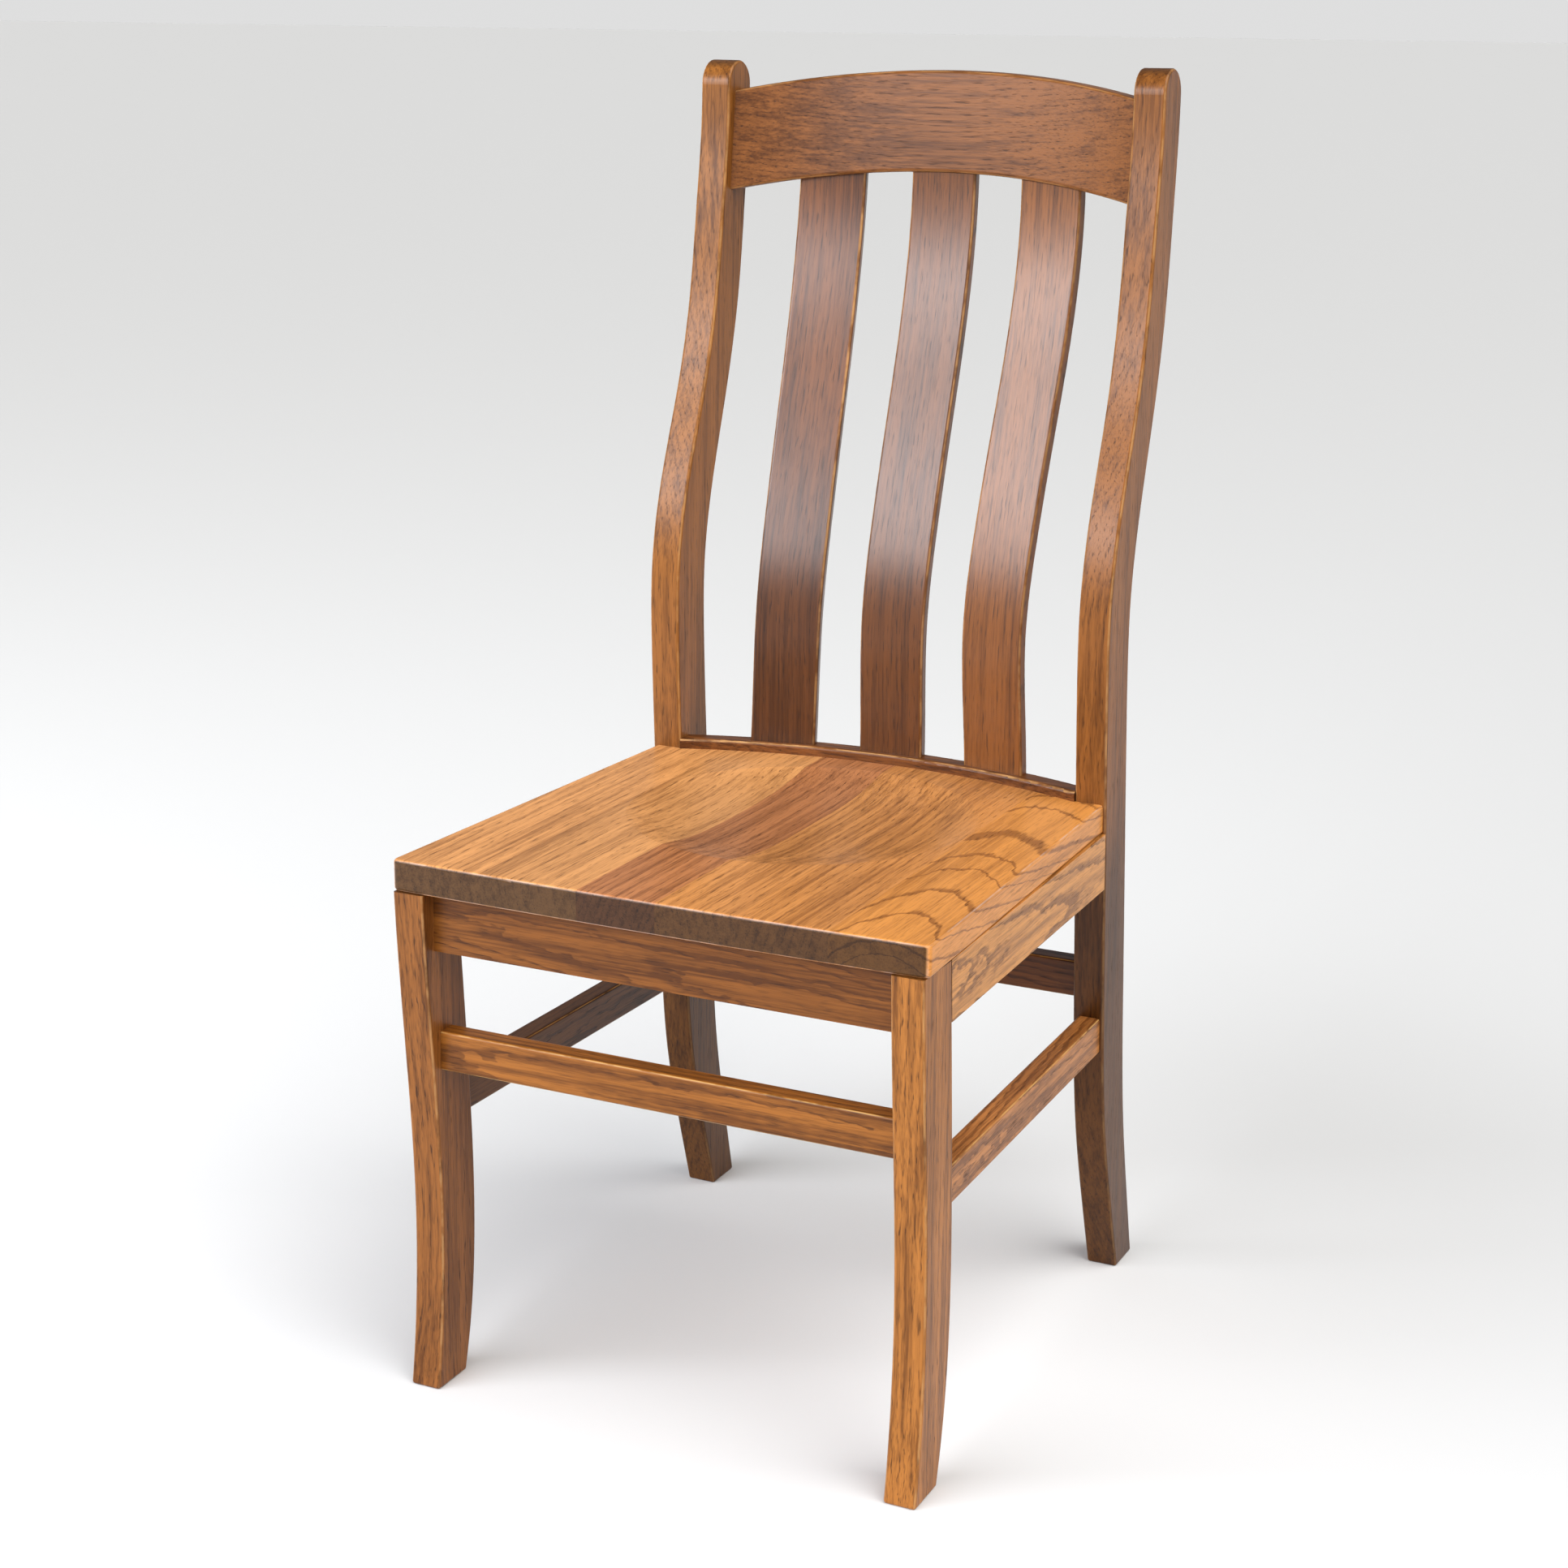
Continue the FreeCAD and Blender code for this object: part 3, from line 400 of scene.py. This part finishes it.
def screw_maker():
    # shares of the shank's width, of the head's width and of the shank's length
    core, ridge_high = 0.36, 0.13
    slot_long, slot_across = 0.56, 0.12
    plain, threaded, pointed = 0.24, 0.62, 0.16
    tree = bpy.data.node_groups.new("wood_screws", "GeometryNodeTree")
    tree.interface.new_socket("Places", in_out="INPUT", socket_type="NodeSocketGeometry")
    for label in ("Head width", "Head height", "Shank width", "Shank length", "Pitch"):
        tree.interface.new_socket(label, in_out="INPUT", socket_type="NodeSocketFloat")
    tree.interface.new_socket("Plate", in_out="INPUT", socket_type="NodeSocketMaterial")
    tree.interface.new_socket("Screws", in_out="OUTPUT", socket_type="NodeSocketGeometry")
    given = tree.nodes.new("NodeGroupInput").outputs
    result = tree.nodes.new("NodeGroupOutput").inputs

    def make(kind, fields=None, out=0, **settings):
        node = tree.nodes.new(kind)
        for name, value in settings.items():
            setattr(node, name, value)
        for name, value in (fields or {}).items():
            if isinstance(value, bpy.types.NodeSocket):
                tree.links.new(value, node.inputs[name])
            else:
                node.inputs[name].default_value = value
        return node.outputs[out]

    def times(value, factor):
        return make("ShaderNodeMath", {0: value, 1: factor}, operation="MULTIPLY")

    def lifted(shape, height):
        return make("GeometryNodeTransform", {
            "Geometry": shape, "Translation": make("ShaderNodeCombineXYZ", {"Z": height})})

    head = make("GeometryNodeMeshCylinder", {
        "Vertices": 28, "Radius": times(given["Head width"], 0.5), "Depth": given["Head height"]})
    head = lifted(head, times(given["Head height"], -0.5))
    bars = []
    for long, across in ((slot_long, slot_across), (slot_across, slot_long)):
        size = make("ShaderNodeCombineXYZ", {
            "X": times(given["Head width"], long), "Y": times(given["Head width"], across),
            "Z": times(given["Head height"], 1.1)})
        bars.append(lifted(make("GeometryNodeMeshCube", {"Size": size}),
                           times(given["Head height"], -1.0)))
    cut = tree.nodes.new("GeometryNodeMeshBoolean")
    cut.operation = "DIFFERENCE"
    tree.links.new(head, cut.inputs[0])
    for bar in bars:
        tree.links.new(bar, cut.inputs[1])
    core_radius = times(given["Shank width"], core)
    straight = times(given["Shank length"], 1.0 - pointed)
    shank = make("GeometryNodeMeshCylinder", {
        "Vertices": 20, "Radius": core_radius, "Depth": straight})
    shank = lifted(shank, times(straight, 0.5))
    tip = lifted(make("GeometryNodeMeshCone", {
        "Vertices": 20, "Radius Top": 0.0002, "Radius Bottom": core_radius,
        "Depth": times(given["Shank length"], pointed)}), straight)
    thread_long = times(given["Shank length"], threaded)
    turns = make("ShaderNodeMath", {0: thread_long, 1: given["Pitch"]}, operation="DIVIDE")
    helix = make("GeometryNodeCurveSpiral", {
        "Resolution": 14, "Rotations": turns, "Start Radius": core_radius,
        "End Radius": core_radius, "Height": thread_long})
    helix = lifted(helix, times(given["Shank length"], plain))
    ridge = make("GeometryNodeCurvePrimitiveCircle", {
        "Resolution": 4, "Radius": times(given["Shank width"], ridge_high)})
    thread = make("GeometryNodeCurveToMesh", {
        "Curve": helix, "Profile Curve": ridge, "Fill Caps": True})
    join = tree.nodes.new("GeometryNodeJoinGeometry")
    for part in (thread, tip, shank, cut.outputs[0]):
        tree.links.new(part, join.inputs[0])
    way = make("GeometryNodeInputNamedAttribute", {"Name": "way"}, data_type="FLOAT_VECTOR")
    turn = make("FunctionNodeAlignRotationToVector", {"Vector": way}, axis="Z")
    copies = make("GeometryNodeInstanceOnPoints", {
        "Points": given["Places"], "Instance": join.outputs[0], "Rotation": turn})
    real = make("GeometryNodeRealizeInstances", {"Geometry": copies})
    plated = make("GeometryNodeSetMaterial", {"Geometry": real, "Material": given["Plate"]})
    tree.links.new(plated, result["Screws"])
    return tree


def drive_screws(name, places, ways, stands_for):
    points = bpy.data.meshes.new(name + "_places")
    points.from_pydata(places, [], [])
    points.attributes.new("way", "FLOAT_VECTOR", "POINT").data.foreach_set(
        "vector", [number for way in ways for number in way])
    holder = bpy.data.objects.new(name + "_places", points)
    bpy.context.scene.collection.objects.link(holder)
    maker = holder.modifiers.new("screws", "NODES")
    maker.node_group = screw_tree
    sizes = {"Head width": head_wide, "Head height": head_high, "Shank width": shank_wide,
             "Shank length": shank_long, "Pitch": thread_pitch, "Plate": zinc_plate}
    for item in screw_tree.interface.items_tree:
        if item.in_out == "INPUT" and item.name in sizes:
            maker[item.identifier] = sizes[item.name]
    seen = holder.evaluated_get(bpy.context.evaluated_depsgraph_get())
    mesh = bpy.data.meshes.new_from_object(seen)
    mesh.name = name
    bpy.data.objects.remove(holder)
    screws = bpy.data.objects.new(name, mesh)
    bpy.context.scene.collection.objects.link(screws)
    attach(screws, "root")
    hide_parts(stands_for)


zinc_plate, screw_tree = zinc(), screw_maker()
block_long, far_along, near_along = 0.074, 0.054, 0.012
seat_screw_in, side_screw_down, seat_screw_down = 0.027, 0.018, 0.020
side_places, side_ways, seat_places = [], [], []
for end in ("front", "rear"):
    for side, sign in (("left", -1), ("right", 1)):
        low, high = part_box(f"corner_block_{end}_{side}")
        inward, face = (1, low[1]) if end == "front" else (-1, high[1])
        corner = (high[0] if sign < 0 else low[0]) + sign * block_long
        middle = high[2] - side_screw_down
        side_places += [(corner - sign * far_along, face + inward * near_along, middle),
                        (corner - sign * near_along, face + inward * far_along, middle)]
        side_ways += [(0, -inward, 0), (sign, 0, 0)]
        seat_places.append((corner - sign * seat_screw_in, face + inward * seat_screw_in,
                            high[2] - seat_screw_down))
drive_screws("block_screws_threaded", side_places, side_ways, "corner_block_screws")
drive_screws("seat_screws_threaded", seat_places, [(0, 0, 1)] * 4, "seat_screws")

# ---------------------------------------------------------------- studio
# A plain pale floor of matt paint that runs out to the horizon, under pale, even air.
# One long softbox stands in front on the left, and a wide overhead light fills in from above.
floor_mesh = bpy.data.meshes.new("floor")
floor_reach = 150.0
floor_mesh.from_pydata([(x * floor_reach, y * floor_reach, 0)
                        for x, y in ((-1, -1), (1, -1), (1, 1), (-1, 1))], [], [(0, 1, 2, 3)])
floor = bpy.data.objects.new("floor", floor_mesh)
bpy.context.scene.collection.objects.link(floor)
floor_paint = bpy.data.materials.new("floor_paint")
floor_paint.use_nodes = True
floor_shader = floor_paint.node_tree.nodes["Principled BSDF"]
floor_shader.inputs["Base Color"].default_value = (0.74, 0.74, 0.74, 1)
floor_shader.inputs["Roughness"].default_value = 0.9
floor_shader.inputs["Specular IOR Level"].default_value = 0.1
floor_mesh.materials.append(floor_paint)


def softbox(name, place, aim, wide, high, power, colour):
    data = bpy.data.lights.new(name, "AREA")
    data.shape, data.size, data.size_y = "RECTANGLE", wide, high
    data.energy, data.color = power, colour
    lamp = bpy.data.objects.new(name, data)
    lamp.location = place
    lamp.rotation_euler = (Vector(aim) - Vector(place)).to_track_quat("-Z", "Y").to_euler()
    bpy.context.scene.collection.objects.link(lamp)
    return lamp


def sky(name, turn, strength, spread, colour):
    data = bpy.data.lights.new(name, "SUN")
    data.energy, data.angle, data.color = strength, math.radians(spread), colour
    lamp = bpy.data.objects.new(name, data)
    lamp.rotation_euler = Vector(turn).to_track_quat("-Z", "Y").to_euler()
    bpy.context.scene.collection.objects.link(lamp)
    return lamp


softbox("front_softbox", place=(-1.8, -3.2, 2.25), aim=(0, 0.1, 0.75), wide=4.3, high=0.9,
        power=215, colour=(0.92, 0.95, 1.0))
sky("overhead", turn=(-0.75, 0.28, -1.0), strength=3.0, spread=60, colour=(1.0, 0.99, 0.97))

world = bpy.data.worlds.new("studio_air")
bpy.context.scene.world = world
world.use_nodes = True
air = world.node_tree
backdrop = air.nodes["Background"]
up = parts_of(air, air.nodes.new("ShaderNodeTexCoord").outputs["Generated"])["Z"]
horizon, overhead = (0.735, 0.735, 0.735, 1), (0.24, 0.245, 0.25, 1)
lift = fade(air, up, start=0.02, end=0.16)
air.links.new(tint(air, lift, horizon, overhead), backdrop.inputs["Color"])
backdrop.inputs["Strength"].default_value = 1.0

# ---------------------------------------------------------------- camera
# Stands two and a quarter metres away in front on the right, just above the top of the back.
# A short telephoto lens keeps the legs nearly upright.
eye = Vector((0.9574, -2.0396, 1.1019))
round_by, up_by, roll = math.radians(25.677), math.radians(15.456), math.radians(0.636)
backward = Vector((math.sin(round_by) * math.cos(up_by), -math.cos(round_by) * math.cos(up_by),
                   math.sin(up_by)))
level = Vector((math.cos(round_by), math.sin(round_by), 0))
upright = backward.cross(level)
right = math.cos(roll) * level + math.sin(roll) * upright
top = -math.sin(roll) * level + math.cos(roll) * upright
lens = bpy.data.cameras.new("camera")
lens.lens, lens.sensor_width = 64.07, 36
lens.clip_start, lens.clip_end = 0.05, 200
camera = bpy.data.objects.new("camera", lens)
camera.matrix_world = Matrix((
    (right.x, top.x, backward.x, eye.x), (right.y, top.y, backward.y, eye.y),
    (right.z, top.z, backward.z, eye.z), (0, 0, 0, 1)))
bpy.context.scene.collection.objects.link(camera)
bpy.context.scene.camera = camera
bpy.context.scene.view_settings.view_transform = "Standard"
